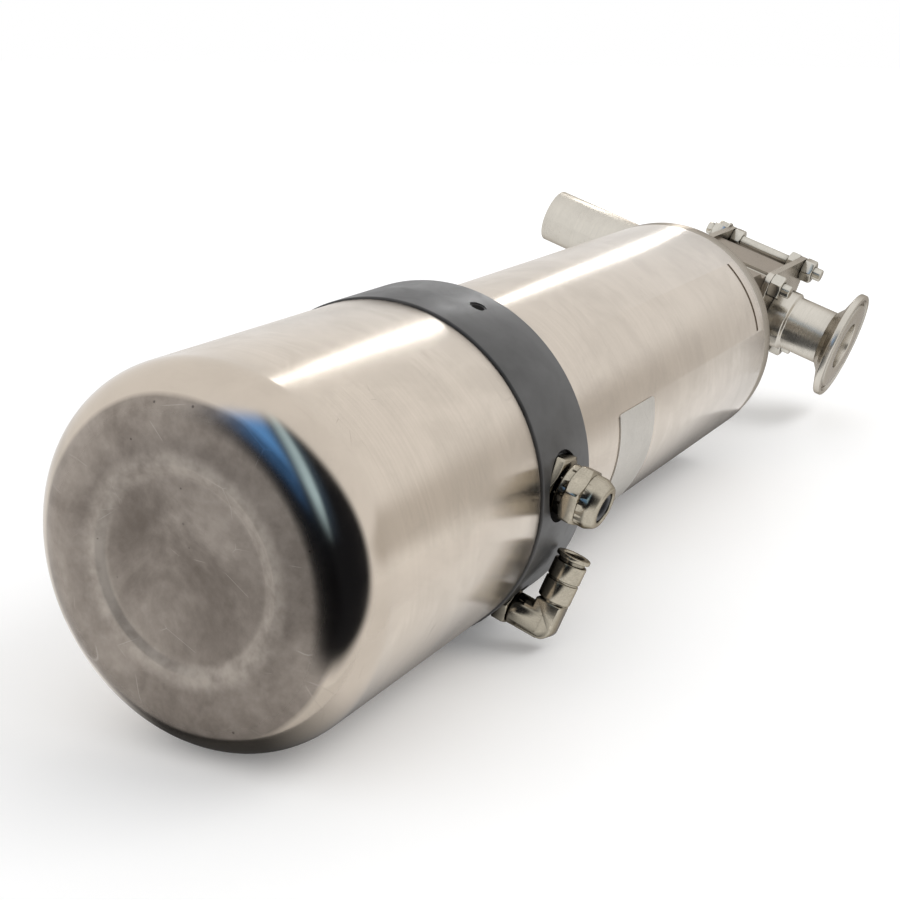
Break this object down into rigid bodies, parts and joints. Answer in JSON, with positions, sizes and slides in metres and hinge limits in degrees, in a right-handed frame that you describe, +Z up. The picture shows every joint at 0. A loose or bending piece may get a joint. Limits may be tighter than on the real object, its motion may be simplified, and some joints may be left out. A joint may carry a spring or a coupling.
{
  "type": "pinch valve",
  "caption": "Pneumatic hygienic pinch valve: a spring-opened piston actuator squeezes a hose between two bars, with a clamp ferrule, a plain pipe end, an air elbow and a cable gland.",
  "frame": {"origin": "centre of the footprint on the surface that the valve lies on", "axes": "+X along the actuator axis from the end cup to the pinch body, +Z up, the clamp ferrule and both fittings face -Y and hang 19.5 degrees low"},
  "size_m": [0.4558, 0.1676, 0.1072],
  "materials": {
    "cup_steel": "deep-drawn stainless, brushed round the axis, stained end",
    "barrel_steel": "satin stainless tube, brushed round the axis",
    "head_black": "black anodised, satin",
    "plate_steel": "turned stainless",
    "body_steel": "satin cast and machined stainless",
    "pipe_steel": "ground and polished stainless",
    "bar_steel": "milled stainless",
    "screw_steel": "bright stainless fasteners",
    "fitting_nickel": "nickel-plated brass",
    "wire_steel": "drawn wire",
    "label_foil": "bare foil plate, matte",
    "seal_rubber": "black seal rubber",
    "gland_rubber": "black rubber insert",
    "hose_silicone": "translucent white silicone",
    "bearing_bronze": "sintered bronze",
    "inner_steel": "cut tube",
    "spring_steel": "oiled spring steel",
    "bracket_zinc": "zinc plated sheet",
    "switch_steel": "plated sensor barrel",
    "terminal_plastic": "grey plastic",
    "pilot_plastic": "black plastic",
    "piston_alloy": "turned aluminium",
    "guide_plastic": "dark bearing plastic",
    "rod_steel": "ground and polished rod",
    "target_steel": "plain steel ring"
  },
  "bodies": {
    "valve_body": {"end_cup": "cup_steel", "actuator_head": "head_black", "cylinder_barrel": "barrel_steel", "barrel_end_plate": "plate_steel", "rod_bush": "bearing_bronze", "retaining_wire": "wire_steel", "cup_seal": "seal_rubber", "head_seal": "seal_rubber", "end_plate_seal": "seal_rubber", "indicator_bush": "bearing_bronze", "pinch_body": "body_steel", "body_screws": "screw_steel", "fixed_pinch_bar": "bar_steel", "fixed_bar_screw": "screw_steel", "hose_sleeve": "hose_silicone", "body_flange": "body_steel", "plain_end_plate": "pipe_steel", "plain_end_pipe": "pipe_steel", "clamp_end_plate": "pipe_steel", "clamp_end_pipe": "pipe_steel", "clamp_ferrule": "pipe_steel", "tie_bolts": "screw_steel", "tie_bolt_washers": "screw_steel", "tie_bolt_nuts": "screw_steel", "inner_lock_nuts": "screw_steel", "label_plate": "label_foil", "gland_body": "fitting_nickel", "gland_washer": "seal_rubber", "gland_nut": "fitting_nickel", "gland_insert": "gland_rubber", "elbow_stem": "fitting_nickel", "stop_tube": "inner_steel", "return_spring": "spring_steel", "switch_bracket": "bracket_zinc", "bracket_screws": "screw_steel", "open_switch": "switch_steel", "closed_switch": "switch_steel", "terminal_block": "terminal_plastic", "pilot_valve": "pilot_plastic"},
    "piston_assembly": {"piston": "piston_alloy", "piston_seal": "seal_rubber", "piston_guide_ring": "guide_plastic", "piston_nut": "screw_steel", "piston_rod": "rod_steel", "indicator_rod": "rod_steel", "switch_target": "target_steel", "moving_pinch_bar": "bar_steel", "bar_pin": "screw_steel"},
    "elbow_fitting": {"elbow_body": "fitting_nickel", "tube_seal": "seal_rubber"},
    "release_ring": {"release_collar": "fitting_nickel"}
  },
  "joints": [
    {"name": "piston_stroke", "type": "slide", "parent": "valve_body", "child": "piston_assembly", "axis": [1, 0, 0], "range_m": [0, 0.0211], "stiffness_N_per_m": 3000, "springref_m": -0.02, "deforming": ["return_spring", "hose_sleeve"]},
    {"name": "elbow_swivel", "type": "hinge", "parent": "valve_body", "child": "elbow_fitting", "pos_m": [-0.1154, -0.06203, 0.00835], "axis": [0, -0.9426, -0.3338], "continuous": true},
    {"name": "collar_release", "type": "slide", "parent": "elbow_fitting", "child": "release_ring", "axis": [-0.284, 0.3201, -0.9038], "range_m": [0, 0.001], "stiffness_N_per_m": 1000, "springref_m": -0.0005}
  ]
}
